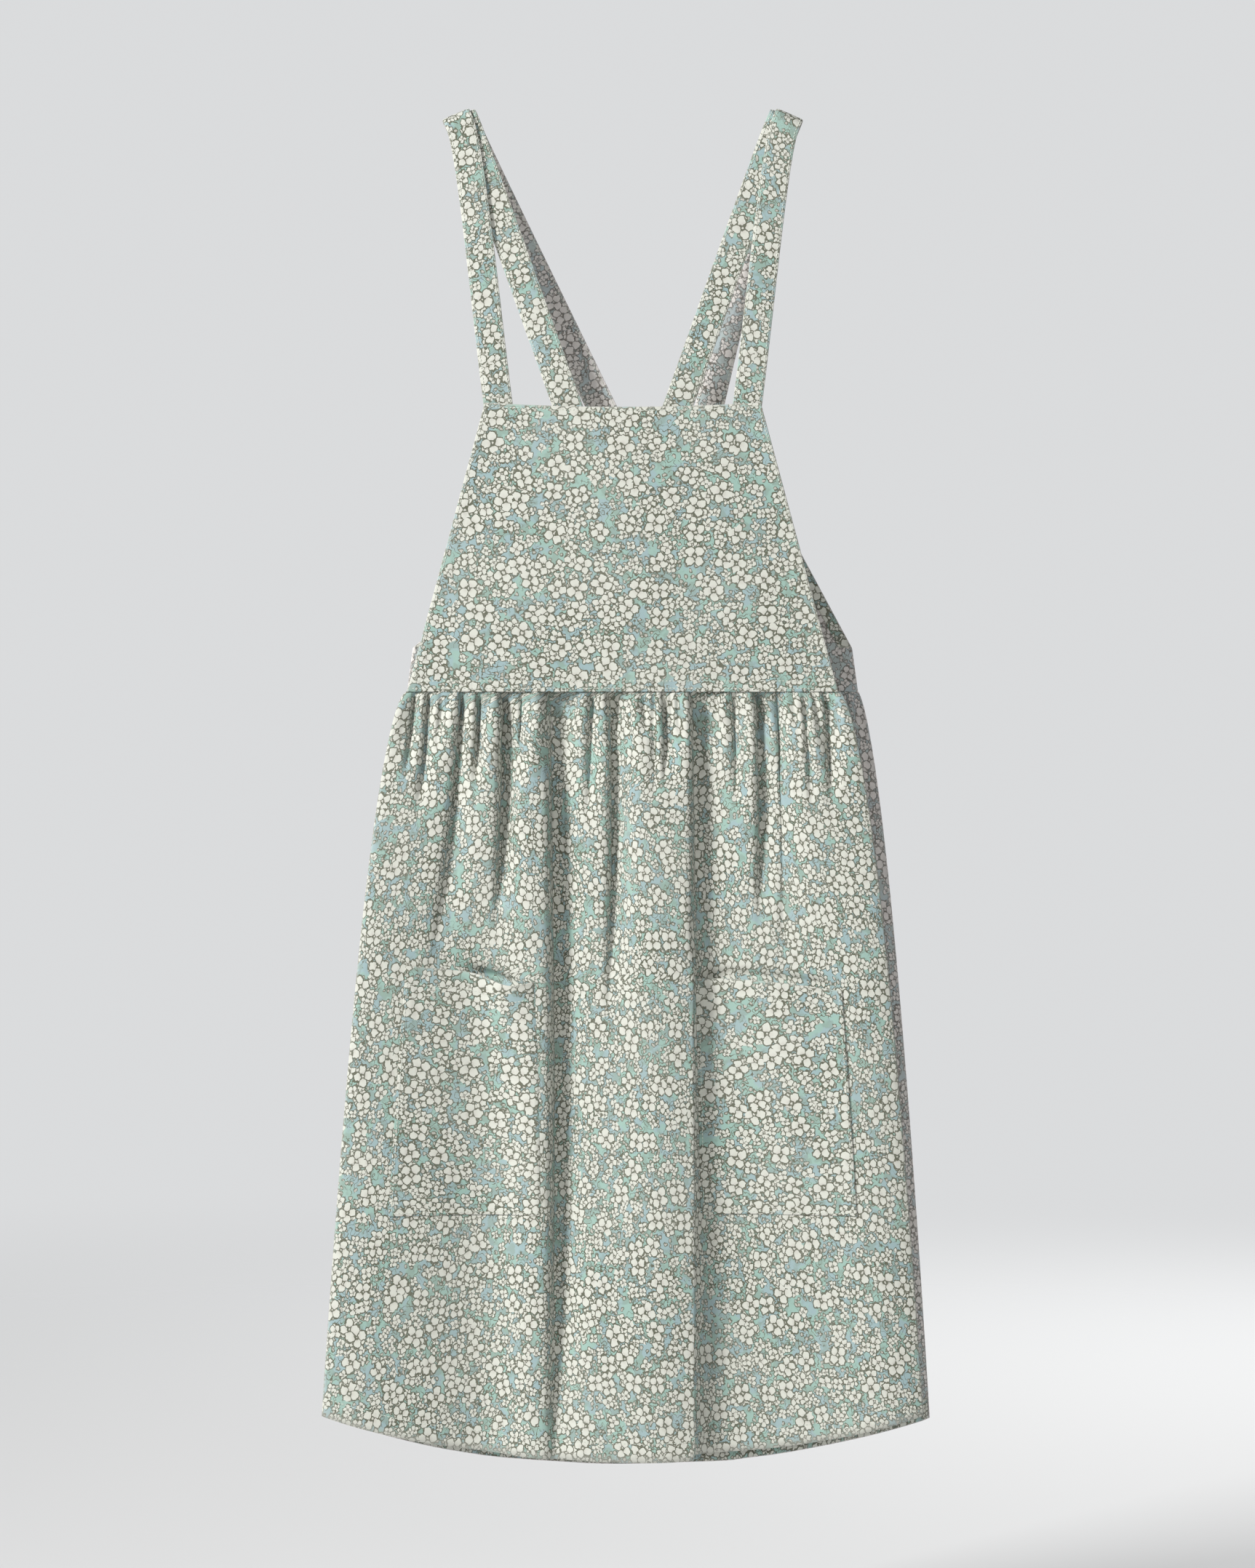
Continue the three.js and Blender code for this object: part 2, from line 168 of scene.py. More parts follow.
def printed_cotton(name, inks, line_share, petal_share, twill):
    """Cotton printed with small blossoms. inks are its cream, petal shade, line and grounds."""
    cream, shade, olive, blue, mint, sage = inks
    finish, tree = empty_finish(name)
    cut = add_node(tree, "Attribute", {}, attribute_name="cloth").outputs["Vector"]
    wear = add_node(tree, "Attribute", {}, attribute_name="wear").outputs["Fac"]
    # The drawing is by hand, so its lines wander a little.
    feeds = {"Vector": cut, "Scale": 1 / 0.0035, "Detail": 1.0}
    wander = add_node(tree, "TexNoise", feeds, noise_dimensions="2D").outputs["Color"]
    feeds = {0: wander, 1: (0.0030, 0.0030, 0), 2: (-0.0015, -0.0015, 0)}
    wander = add_node(tree, "VectorMath", feeds, operation="MULTIPLY_ADD").outputs[0]
    cloth = add_node(tree, "VectorMath", {0: cut, 1: wander}, operation="ADD").outputs[0]
    # The ground has blue, mint and sage patches under curling sprigs.
    ground = over_print(tree, soft_step(tree, blotches(tree, cloth, 0.021), 0.46, 0.56), blue, mint)
    thicket = soft_step(tree, blotches(tree, cloth, 0.012), 0.50, 0.62)
    ground = over_print(tree, reckon(tree, "MULTIPLY", thicket, 0.6), ground, sage)
    curl = blotches(tree, cloth, 0.0042, 0.0)
    curl = reckon(tree, "ABSOLUTE", reckon(tree, "SUBTRACT", curl, 0.5))
    sprigs = soft_step(tree, curl, 0.070, 0.025)
    grown = soft_step(tree, blotches(tree, cloth, 0.016), 0.42, 0.52)
    ground = over_print(tree, reckon(tree, "MULTIPLY", sprigs, grown), ground, olive)
    feeds = {"Vector": cloth, "Scale": 1 / 0.0046, "Randomness": 0.9}
    buds = add_node(tree, "TexVoronoi", feeds, voronoi_dimensions="2D").outputs
    which = add_node(tree, "SeparateColor", {0: buds["Color"]}).outputs
    kept = reckon(tree, "LESS_THAN", which[0], 0.55)
    ring = reckon(tree, "MULTIPLY", soft_step(tree, buds["Distance"], 0.44, 0.36), kept)
    bud = reckon(tree, "MULTIPLY", soft_step(tree, buds["Distance"], 0.27, 0.20), kept)
    print_so_far = over_print(tree, reckon(tree, "MULTIPLY", ring, line_share), ground, olive)
    print_so_far = over_print(tree, reckon(tree, "MULTIPLY", bud, 0.8), print_so_far, shade)
    for spacing, radius, share, outline in (
        (0.0092, 0.0040, 0.74, 0.0008),
        (0.0150, 0.0059, 0.60, 0.0009),
        (0.0232, 0.0087, 0.72, 0.0010),
    ):
        flower = tree.nodes.new("ShaderNodeGroup")
        flower.node_tree = blossoms
        tree.links.new(cloth, flower.inputs["Cloth"])
        flower.inputs["Spacing"].default_value = spacing
        flower.inputs["Radius"].default_value = radius
        flower.inputs["Share"].default_value = share
        flower.inputs["Outline"].default_value = outline
        lines = reckon(tree, "MULTIPLY", flower.outputs["Lines"], line_share)
        petals = reckon(tree, "MULTIPLY", flower.outputs["Petals"], petal_share)
        petal = over_print(tree, reckon(tree, "MULTIPLY", flower.outputs["Inner"], 0.7), cream, shade)
        print_so_far = over_print(tree, lines, print_so_far, olive)
        print_so_far = over_print(tree, petals, print_so_far, petal)
    # Folded edges have rubbed paler, and the whole cloth has faded unevenly.
    faded = soft_step(tree, blotches(tree, cut, 0.09, 3.0), 0.3, 0.7)
    print_so_far = over_print(tree, reckon(tree, "MULTIPLY", faded, 0.07), print_so_far, cream)
    print_so_far = over_print(tree, reckon(tree, "MULTIPLY", wear, 0.45), print_so_far, cream)
    # The weave has 17 threads to the centimetre each way, or fine slanting ribs on the inside.
    place = add_node(tree, "SeparateXYZ", {0: cut}).outputs
    pitch = 2 * math.pi / 0.0006
    warp = reckon(tree, "MULTIPLY", place[0], pitch)
    weft = reckon(tree, "MULTIPLY", place[1], pitch)
    if twill:
        threads = reckon(tree, "SINE", reckon(tree, "ADD", warp, weft))
    else:
        threads = reckon(tree, "MULTIPLY", reckon(tree, "SINE", warp), reckon(tree, "SINE", weft))
    crease = blotches(tree, cut, 0.014, 3.0)
    height = reckon(tree, "MULTIPLY_ADD", crease, 6.0, threads)
    feeds = {"Strength": 0.55, "Distance": 0.00016, "Height": height}
    bump = add_node(tree, "Bump", feeds).outputs[0]
    slub = reckon(tree, "MULTIPLY_ADD", threads, 0.035, 0.86)
    feeds = {
        "Base Color": print_so_far,
        "Roughness": slub,
        "Specular IOR Level": 0.25,
        "Sheen Weight": 0.12,
        "Sheen Roughness": 0.6,
        "Normal": bump,
    }
    body = add_node(tree, "BsdfPrincipled", feeds)
    out = add_node(tree, "OutputMaterial", {"Surface": body.outputs[0]})
    out.is_active_output = True
    return finish


right_inks = (PETAL_CREAM, PETAL_SHADE, OLIVE_LINE, GROUND_BLUE, GROUND_MINT, GROUND_SAGE)
right_side = printed_cotton("print cotton", right_inks, 0.95, 1.0, False)
# The reverse of the print is really greyer and paler than its face. These inks are painted lighter still,
# as painted light that brightens the shaded back strips and inner faces.
reverse_inks_with_painted_light = (
    (0.88, 0.835, 0.80, 1),
    (0.72, 0.68, 0.65, 1),
    (0.160, 0.142, 0.118, 1),
    (0.49, 0.565, 0.58, 1),
    (0.50, 0.575, 0.56, 1),
    (0.41, 0.455, 0.445, 1),
)
reverse_finish_with_painted_light = printed_cotton("print cotton wrong side", reverse_inks_with_painted_light, 0.75, 0.85, True)


def in_scene(name, data):
    """A new object in the scene, made of a mesh, a lamp or a camera."""
    thing = bpy.data.objects.new(name, data)
    bpy.context.collection.objects.link(thing)
    return thing


def mark_cloth(mesh, flat, rubbed):
    """Give a piece its places in the flat cut and its worn edges, and both sides of the print."""
    mesh.attributes.new("cloth", "FLOAT_VECTOR", "POINT").data.foreach_set("vector", flat.ravel())
    mesh.attributes.new("wear", "FLOAT", "POINT").data.foreach_set("value", rubbed.ravel())
    mesh.materials.append(right_side)
    mesh.materials.append(reverse_finish_with_painted_light)


def cloth_panel(name, spots, cut, faces_back=False, worn="lrtb", thick=CLOTH_THICK):
    """A panel of cotton from rows of spots, top row first, with their places in the flat cut."""
    rows, columns = spots.shape[:2]
    index = np.arange(rows * columns).reshape(rows, columns)
    around = [index[:-1, :-1], index[1:, :-1], index[1:, 1:], index[:-1, 1:]]
    corners = np.stack(around, axis=-1).reshape(-1, 4)
    if faces_back:
        corners = corners[:, ::-1]
    mesh = bpy.data.meshes.new(name)
    mesh.from_pydata(spots.reshape(-1, 3).tolist(), [], corners.tolist())
    mesh.shade_smooth()
    flat = np.zeros((rows, columns, 3))
    flat[..., :2] = cut
    edge = np.full((rows, columns), 1.0)
    if "l" in worn:
        edge = np.minimum(edge, np.abs(cut[..., 0] - cut[:, :1, 0]))
    if "r" in worn:
        edge = np.minimum(edge, np.abs(cut[..., 0] - cut[:, -1:, 0]))
    if "t" in worn:
        edge = np.minimum(edge, np.abs(cut[..., 1] - cut[:1, :, 1]))
    if "b" in worn:
        edge = np.minimum(edge, np.abs(cut[..., 1] - cut[-1:, :, 1]))
    mark_cloth(mesh, flat, np.exp(-edge / RUBBED_WIDTH))
    piece = in_scene(name, mesh)
    body = piece.modifiers.new("thickness of the cloth", "SOLIDIFY")
    body.thickness = thick
    body.offset = -1
    body.material_offset = 1
    return piece


def spread(count, low, high, edge):
    """Places from low to high, evenly spread but for a closer one just inside each end."""
    places = np.linspace(low, high, count)
    return np.concatenate([[low, low + edge], places[1:-1], [high - edge, high]])


def bib_half(z):
    return WAIST_HALF + (BIB_TOP_HALF - WAIST_HALF) * (z - WAIST_Z) / BIB_HEIGHT


def bodice_depth(z):
    return WAIST_DEPTH + (TOP_DEPTH - WAIST_DEPTH) * (z - WAIST_Z) / BIB_HEIGHT


def bib_face(x, z):
    """The outer face of the bib, which billows a little between its sewn edges."""
    up = np.clip((z - WAIST_Z) / BIB_HEIGHT, 0, 1)
    share = np.clip(x / bib_half(z), -1, 1)
    billow = 0.0020 * np.sin(np.pi * up) * np.cos(share * np.pi / 2)
    ripple = 0.0006 * np.sin(9 * share + 2.2 * up + 0.4) * (1 - up) * np.cos(share * np.pi / 2)
    pucker = 0.00035 * np.sin(x * 690 + 1.3 * np.sin(x * 190)) * np.exp(-(z - WAIST_Z) / 0.012)
    side = bib_half(z) * (1 - np.abs(share))
    turned = 0.00035 * np.clip((TURNED_EDGE - side) / 0.001, 0, 1)
    return -(bodice_depth(z) + billow + ripple + pucker + turned)


def bib_spots(rows, columns):
    """Spots over the bib, from its top edge, which sags in the middle, to the waist."""
    down = spread(rows, 0, 1, edge=0.006)[:, None]
    share = spread(columns, -1, 1, edge=0.008)[None, :]
    top = BIB_TOP_Z - TOP_SAG * (1 - share**2)
    z = top + (WAIST_Z - top) * down
    x = share * bib_half(z)
    return x, z


bib_x, bib_z = bib_spots(110, 150)
bib = cloth_panel(
    "bib_cloth",
    np.stack([bib_x, bib_face(bib_x, bib_z), bib_z], axis=-1),
    np.stack([bib_x, bib_z], axis=-1),
    worn="lrt",
)
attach(bib, "bodice")
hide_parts("bib_front")

# ---------------------------------------------------------------------------------------------
# The top-stitching on the bib: pale cotton sewing thread, ten stitches to 30 mm. One row runs
# along each turned edge and the top, and two rows hold the waist seam down.
# ---------------------------------------------------------------------------------------------
STITCH_PITCH = 0.003
STITCH_LENGTH = 0.0023
THREAD_HALF = 0.0003
EDGE_ROW = 0.0022
UPPER_ROW = 0.009
LOWER_ROW = 0.003


def thread_finish():
    """Spun cotton thread, pale and slightly glossy, with the twist of its two plies."""
    finish, tree = empty_finish("sewing thread")
    where = add_node(tree, "TexCoord", {}).outputs["Object"]
    feeds = {"Vector": where, "Scale": 900.0, "Distortion": 1.5}
    plies = add_node(tree, "TexWave", feeds, bands_direction="DIAGONAL").outputs["Fac"]
    feeds = {"Vector": where, "Scale": 160.0, "Detail": 2.0}
    uneven = add_node(tree, "TexNoise", feeds).outputs["Fac"]
    colour = over_print(tree, uneven, (0.60, 0.64, 0.56, 1), (0.80, 0.82, 0.73, 1))
    bump = add_node(tree, "Bump", {"Strength": 0.4, "Distance": 0.0001, "Height": plies}).outputs[0]
    rough = reckon(tree, "MULTIPLY_ADD", uneven, 0.2, 0.5)
    feeds = {"Base Color": colour, "Roughness": rough, "Sheen Weight": 0.1, "Normal": bump}
    body = add_node(tree, "BsdfPrincipled", feeds)
    add_node(tree, "OutputMaterial", {"Surface": body.outputs[0]})
    return finish


thread = thread_finish()


def stitches(name, lines, outward):
    """Rows of stitches along lines on the cloth, each stitch a small humped length of thread."""
    points = []
    faces = []
    for line in lines:
        line = np.asarray(line, float)
        steps = np.linalg.norm(np.diff(line, axis=0), axis=1)
        along = np.concatenate([[0], np.cumsum(steps)])
        starts = np.arange(STITCH_PITCH / 2, along[-1] - STITCH_LENGTH, STITCH_PITCH)
        for start in starts:
            ends = [start, start + STITCH_LENGTH * 0.5, start + STITCH_LENGTH]
            spots = np.stack([np.interp(ends, along, line[:, k]) for k in range(3)], axis=1)
            out = outward(spots[1]) if callable(outward) else np.asarray(outward, float)
            out = out / np.linalg.norm(out)
            ahead = spots[2] - spots[0]
            wide = np.cross(ahead, out)
            wide = wide / max(np.linalg.norm(wide), 1e-9)
            first = len(points)
            points.append(spots[0] - out * 0.0001)
            for share in (0.2, 0.8):
                middle = spots[0] + ahead * share + out * THREAD_HALF * 0.6
                for turn in range(6):
                    angle = math.tau * turn / 6
                    swing = wide * math.cos(angle) + out * math.sin(angle)
                    points.append(middle + swing * THREAD_HALF)
            points.append(spots[2] - out * 0.0001)
            for turn in range(6):
                after = (turn + 1) % 6
                near, far = first + 1 + turn, first + 1 + after
                faces.append((first, far, near))
                faces.append((near, far, far + 6, near + 6))
                faces.append((first + 13, near + 6, far + 6))
    mesh = bpy.data.meshes.new(name)
    mesh.from_pydata([tuple(p) for p in points], [], faces)
    mesh.shade_smooth()
    mesh.materials.append(thread)
    row = in_scene(name, mesh)
    return row


def on_bib(x, z):
    return np.stack([x, bib_face(x, z), z], axis=-1)


front_way = (0.0, -1.0, 0.0)
share_line = np.linspace(-0.985, 0.985, 120)
top_row_z = BIB_TOP_Z - TOP_SAG * (1 - share_line**2) - 0.003
bib_top_row = stitches("bib_top_thread", [on_bib(share_line * bib_half(top_row_z), top_row_z)], front_way)
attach(bib_top_row, "bodice")
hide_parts("bib_top_stitching")

for row_name, node, row_z in (
    ("waist_thread_upper", "waist_stitching_upper", WAIST_Z + UPPER_ROW),
    ("waist_thread_lower", "waist_stitching_lower", WAIST_Z + LOWER_ROW),
):
    row_x = np.linspace(-0.99, 0.99, 200) * bib_half(row_z)
    waist_row = stitches(row_name, [on_bib(row_x, np.full_like(row_x, row_z))], front_way)
    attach(waist_row, "bodice")
    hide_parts(node)

side_z = np.linspace(BIB_TOP_Z - 0.006, WAIST_Z + 0.012, 120)
side_rows = [on_bib(side * (bib_half(side_z) - EDGE_ROW), side_z) for side in (-1, 1)]
bib_side_rows = stitches("bib_side_thread", side_rows, front_way)
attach(bib_side_rows, "bodice")

# ---------------------------------------------------------------------------------------------
# The facings inside the bib: a 35 mm deep strip of the same cotton across the top, wrong sides
# together, and an 11 mm binding turned in along each armhole edge.
# ---------------------------------------------------------------------------------------------
FACING_DEPTH = 0.035
FACING_LOW_Z = BIB_TOP_Z - FACING_DEPTH
SIDE_SEAM = 0.037
UNDERARM_Z = WAIST_Z + SIDE_SEAM
BINDING_WIDTH = 0.011
BINDING_INSET = 0.0008
BIB_FACING_INSET = 0.0046


def inner_layer(name, x, z, depth, side=-1, print_at=(0.0, 0.0)):
    """A strip of cotton behind a panel, lying at a depth from the middle of the apron."""
    spots = np.stack([x, side * depth, z], axis=-1)
    cut = np.stack([x + print_at[0], z + print_at[1]], axis=-1)
    return cloth_panel(name, spots, cut, faces_back=side < 0, worn="b", thick=0.0007)


strip_down = np.linspace(0, 1, 14)[:, None]
strip_share = np.linspace(-1, 1, 90)[None, :]
strip_top = BIB_TOP_Z - 0.0012 - TOP_SAG * (1 - strip_share**2)
strip_z = strip_top + (FACING_LOW_Z - strip_top) * strip_down
strip_x = strip_share * (bib_half(strip_z) - 0.001)
bib_top_facing = inner_layer(
    "bib_top_facing_cloth",
    strip_x,
    strip_z,
    bodice_depth(strip_z) - BIB_FACING_INSET - 0.0008 + 0.0005 * np.sin(strip_share * 11) * strip_down,
    print_at=(0.7, 0.3),
)
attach(bib_top_facing, "bodice")
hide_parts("bib_top_facing")

for side, word in ((-1, "left"), (1, "right")):
    binding_z = np.linspace(FACING_LOW_Z - 0.0006, UNDERARM_Z + 0.0005, 60)[:, None]
    inward = np.linspace(BINDING_INSET, BINDING_WIDTH, 7)[None, :]
    if side > 0:
        inward = inward[:, ::-1]
    binding = inner_layer(
        "bib_binding_" + word,
        side * (bib_half(binding_z) - inward),
        binding_z + 0 * inward,
        bodice_depth(binding_z) - 0.0021 + 0 * inward,
        print_at=(0.4, 0.9),
    )
    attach(binding, "bodice")
    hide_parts("bib_armhole_facing_" + word)

# ---------------------------------------------------------------------------------------------
# The back panel of the bodice: printed cotton, shorter than the bib, that hangs 39 mm to one
# side at its top edge. Its edges are turned in and stitched, with a facing inside the top.
# ---------------------------------------------------------------------------------------------
BACK_HEIGHT = 0.152
BACK_TOP_Z = WAIST_Z + BACK_HEIGHT
BACK_TOP_HALF = 0.0895
BACK_LEAN = 0.039
BACK_WAIST_LEAN = 0.008
UNDERARM_EASE = 0.015
BACK_EASE = 0.010


def back_edge(side, z):
    """The side edge of the back panel, which has a corner under the arm."""
    above = np.clip((z - UNDERARM_Z) / (BACK_TOP_Z - UNDERARM_Z), 0, 1)
    below = np.clip((UNDERARM_Z - z) / (UNDERARM_Z - WAIST_Z), 0, 1)
    corner = bib_half(UNDERARM_Z) + UNDERARM_EASE
    half = corner + (BACK_TOP_HALF - corner) * above + (WAIST_HALF + BACK_EASE - corner) * below
    return BACK_WAIST_LEAN + (BACK_LEAN - BACK_WAIST_LEAN) * above + side * half


def back_face(x, z):
    """The outer face of the back panel, with a soft fold from the straps to the underarm."""
    up = np.clip((z - WAIST_Z) / (BACK_TOP_Z - WAIST_Z), 0, 1)
    share = (x - BACK_WAIST_LEAN) / WAIST_HALF
    billow = 0.0024 * np.sin(np.pi * up) * np.cos(np.clip(share, -1, 1) * np.pi / 2)
    drag = 0.0010 * np.sin(7 * share - 3.0 * up) * up * (1 - 0.4 * up)
    return bodice_depth(z) + billow + drag


upper_z = np.linspace(BACK_TOP_Z, UNDERARM_Z, 50)
lower_z = np.linspace(UNDERARM_Z, WAIST_Z, 18)[1:]
back_z = np.concatenate([upper_z[:1], upper_z[:1] - 0.001, upper_z[1:], lower_z])[:, None]
back_share = spread(130, 0, 1, edge=0.004)[None, :]
back_x = back_edge(-1, back_z) + (back_edge(1, back_z) - back_edge(-1, back_z)) * back_share
back_z = back_z + 0 * back_x
back_cloth = cloth_panel(
    "back_cloth",
    np.stack([back_x, back_face(back_x, back_z), back_z], axis=-1),
    np.stack([back_x + 2.0, back_z], axis=-1),
    faces_back=True,
    worn="lrt",
)
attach(back_cloth, "bodice")
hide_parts("back_bodice")


def on_back(x, z):
    return np.stack([x, back_face(x, z), z], axis=-1)


back_way = (0.0, 1.0, 0.0)
row_share = np.linspace(0.01, 0.99, 140)
top_z = np.full_like(row_share, BACK_TOP_Z - 0.003)
top_x = back_edge(-1, top_z) + (back_edge(1, top_z) - back_edge(-1, top_z)) * row_share
edge_z = np.linspace(BACK_TOP_Z - 0.006, UNDERARM_Z + 0.002, 80)
back_rows = [on_back(top_x, top_z)]
back_rows += [on_back(back_edge(side, edge_z) - side * EDGE_ROW, edge_z) for side in (-1, 1)]
for row_z in (WAIST_Z + UPPER_ROW, WAIST_Z + LOWER_ROW):
    across_x = BACK_WAIST_LEAN + np.linspace(-0.985, 0.985, 160) * (WAIST_HALF + BACK_EASE)
    back_rows.append(on_back(across_x, np.full_like(across_x, row_z)))
back_thread = stitches("back_thread", back_rows, back_way)
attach(back_thread, "bodice")

back_strip_z = np.linspace(BACK_TOP_Z - 0.0008, BACK_TOP_Z - FACING_DEPTH, 14)[:, None]
back_strip_share = np.linspace(0.004, 0.996, 90)[None, :]
back_left = back_edge(-1, back_strip_z)
back_strip_x = back_left + (back_edge(1, back_strip_z) - back_left) * back_strip_share
back_top_facing = inner_layer(
    "back_top_facing_cloth",
    back_strip_x,
    back_strip_z + 0 * back_strip_x,
    bodice_depth(back_strip_z) - 0.0076 + 0 * back_strip_x,
    side=1,
    print_at=(1.2, 0.1),
)
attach(back_top_facing, "bodice")
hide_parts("back_top_facing")

for side, word in ((-1, "left"), (1, "right")):
    binding_z = np.linspace(BACK_TOP_Z - 0.0356, UNDERARM_Z + 0.0005, 30)[:, None]
    inward = np.linspace(BINDING_INSET, BINDING_WIDTH, 7)[None, :]
    if side > 0:
        inward = inward[:, ::-1]
    binding = inner_layer(
        "back_binding_" + word,
        back_edge(side, binding_z) - side * inward,
        binding_z + 0 * inward,
        bodice_depth(binding_z) - 0.0021 + 0 * inward,
        side=1,
        print_at=(0.1, 0.6),
    )
    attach(binding, "bodice")
    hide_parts("back_armhole_facing_" + word)

# ---------------------------------------------------------------------------------------------
# The side seams: under each arm the bib and the back panel are joined for only 37 mm, by a
# narrow gusset of the same cotton that turns from the front to the back.
# ---------------------------------------------------------------------------------------------
for side, word in ((-1, "left"), (1, "right")):
    seam_z = np.linspace(UNDERARM_Z - 0.0005, WAIST_Z + 0.0005, 20)[:, None]
    front_to_back = np.linspace(-1, 1, 16)[None, :]
    nearest = np.minimum(bib_half(seam_z), np.abs(back_edge(side, seam_z)))
    inner = bodice_depth(seam_z) - 0.0017
    seam_x = side * (nearest - 0.0022 + 0.0016 * (1 - front_to_back**2))
    seam_y = inner * front_to_back
    spots = np.stack([seam_x, seam_y, seam_z + 0 * seam_x], axis=-1)
    cut = np.stack([seam_y + 3.0 + side, spots[..., 2]], axis=-1)
    gusset = cloth_panel("side_gusset_" + word, spots, cut, faces_back=side < 0, worn="t")
    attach(gusset, "bodice")
    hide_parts("side_seam_" + word)

# ---------------------------------------------------------------------------------------------
# The straps: strips of the print folded to 24 mm and stitched along both edges. The cross
# straps run from behind the bib's top over the hanger and down to the back panel, and the outer
# straps lie on them at the shoulder, where their ends are sewn down.
# ---------------------------------------------------------------------------------------------
STRAP_HALF = 0.012
STRAP_THICK = 0.002
SHOULDER_HALF = 0.132
ARM_TILT = math.radians(23.5)
ARM_FLAT = 0.004
ARM_ROUND = 0.005
LAYER_GAP = 0.0005
PANEL_LAYER = 0.0021
STRAP_TAIL = 0.014
INNER_FOOT = 0.041
OUTER_FOOT = 0.1005
OUTER_STEP = 0.0044
OUTER_BACK_TAIL = 0.038
STRAP_APART = 0.009


def over_arm(side, lift, along):
    """Places and tilts of a strap where it turns over the hanger's arm, front to back."""
    tilt = -side * ARM_TILT
    arm = np.array([math.cos(tilt), 0, math.sin(tilt)])
    up = np.array([-math.sin(tilt), 0, math.cos(tilt)])
    middle = np.array([side * SHOULDER_HALF, 0, 0]) + arm * side * along
    places = []
    for face in (-1, 1):
        turns = np.linspace(0, math.pi / 2, 9)
        for turn in turns if face < 0 else turns[::-1]:
            around = ARM_ROUND + lift
            place = middle + up * (around * math.sin(turn) - ARM_ROUND)
            place[1] = face * (ARM_FLAT + around * math.cos(turn))
            places.append((place, tilt))
    return places


def strap_leg(start, tilt, foot):
    """Places and tilts from the end of the turn down to the strap's foot."""
    foot_tilt = math.atan2(foot[0] - start[0], start[2] - foot[2])
    far = np.linalg.norm(foot - start)
    first = start + np.array([math.sin(tilt), 0, -math.cos(tilt)]) * far / 10
    last = foot - np.array([math.sin(foot_tilt), 0, -math.cos(foot_tilt)]) * far / 3
    places = []
    for share in np.linspace(0, 1, 49)[1:]:
        rest = 1 - share
        place = start * rest**3 + 3 * first * rest**2 * share + 3 * last * rest * share**2
        place = place + foot * share**3
        place[1] += 0.0008 * math.sin(7 * share) * math.sin(math.pi * share)
        places.append((place, tilt + (foot_tilt - tilt) * share))
    return places


def strap_foot(x, top_z, side, inset):
    z = top_z - STRAP_TAIL
    return np.array([x, side * (bodice_depth(z) - inset - STRAP_THICK / 2), z])


def strap_band(name, places, print_at):
    """A folded strap swept along its places: crowned faces, thin stitched edges."""
    middle = np.array([place for place, _ in places])
    tilts = np.array([tilt for _, tilt in places])
    wide = np.stack([np.cos(tilts), 0 * tilts, np.sin(tilts)], axis=1)
    ahead = np.gradient(middle, axis=0)
    out = np.cross(wide, ahead)
    out /= np.linalg.norm(out, axis=1)[:, None]
    run = np.concatenate([[0], np.cumsum(np.linalg.norm(np.diff(middle, axis=0), axis=1))])
    angles = (np.arange(28) + 0.5) * math.tau / 28
    across = np.sign(np.cos(angles)) * np.abs(np.cos(angles)) ** 0.45 * STRAP_HALF
    through = np.sign(np.sin(angles)) * np.abs(np.sin(angles)) ** 0.75 * STRAP_THICK / 2
    groove = 0.00022 * np.exp(-(((STRAP_HALF - np.abs(across)) - EDGE_ROW) ** 2) / 4e-7)
    through = through - np.sign(through) * groove
    spots = (
        middle[:, None]
        + wide[:, None] * across[None, :, None]
        + out[:, None] * through[None, :, None]
    )
    steps, ring = spots.shape[:2]
    index = np.arange(steps * ring).reshape(steps, ring)
    faces = []
    finishes = []
    for i in range(steps - 1):
        for k in range(ring):
            after = (k + 1) % ring
            faces.append((index[i, k], index[i, after], index[i + 1, after], index[i + 1, k]))
            finishes.append(0 if through[k] + through[after] >= -1e-9 else 1)
    faces.append(tuple(index[0, ::-1]))
    faces.append(tuple(index[-1]))
    finishes += [0, 0]
    mesh = bpy.data.meshes.new(name)
    mesh.from_pydata(spots.reshape(-1, 3).tolist(), [], [tuple(int(c) for c in f) for f in faces])
    mesh.shade_smooth()
    flat = np.zeros((steps, ring, 3))
    flat[..., 0] = across[None, :] + print_at + np.where(through < 0, 0.6, 0)[None, :]
    flat[..., 1] = run[:, None]
    rubbed = np.exp(-(STRAP_HALF - np.abs(across)) / 0.0009)[None, :] + 0 * run[:, None]
    mark_cloth(mesh, flat, rubbed)
    mesh.polygons.foreach_set("material_index", finishes)
    band = in_scene(name, mesh)
    rows = []
    for side in (-1, 1):
        reach = wide * side * (STRAP_HALF - EDGE_ROW)
        rows.append(middle + reach + out * (STRAP_THICK / 2 - 0.0002))
        rows.append(middle + reach - out * (STRAP_THICK / 2 - 0.0002))
    sewn = stitches(name + "_thread", rows, lambda spot: row_out(spot, middle, out))
    return band, sewn, run[-1]


def row_out(spot, middle, out):
    """Which way a strap's stitches stand, at a spot on either of its faces."""
    i = int(np.argmin(np.linalg.norm(middle - spot, axis=1)))
    return out[i] * (1 if np.dot(spot - middle[i], out[i]) > 0 else -1)


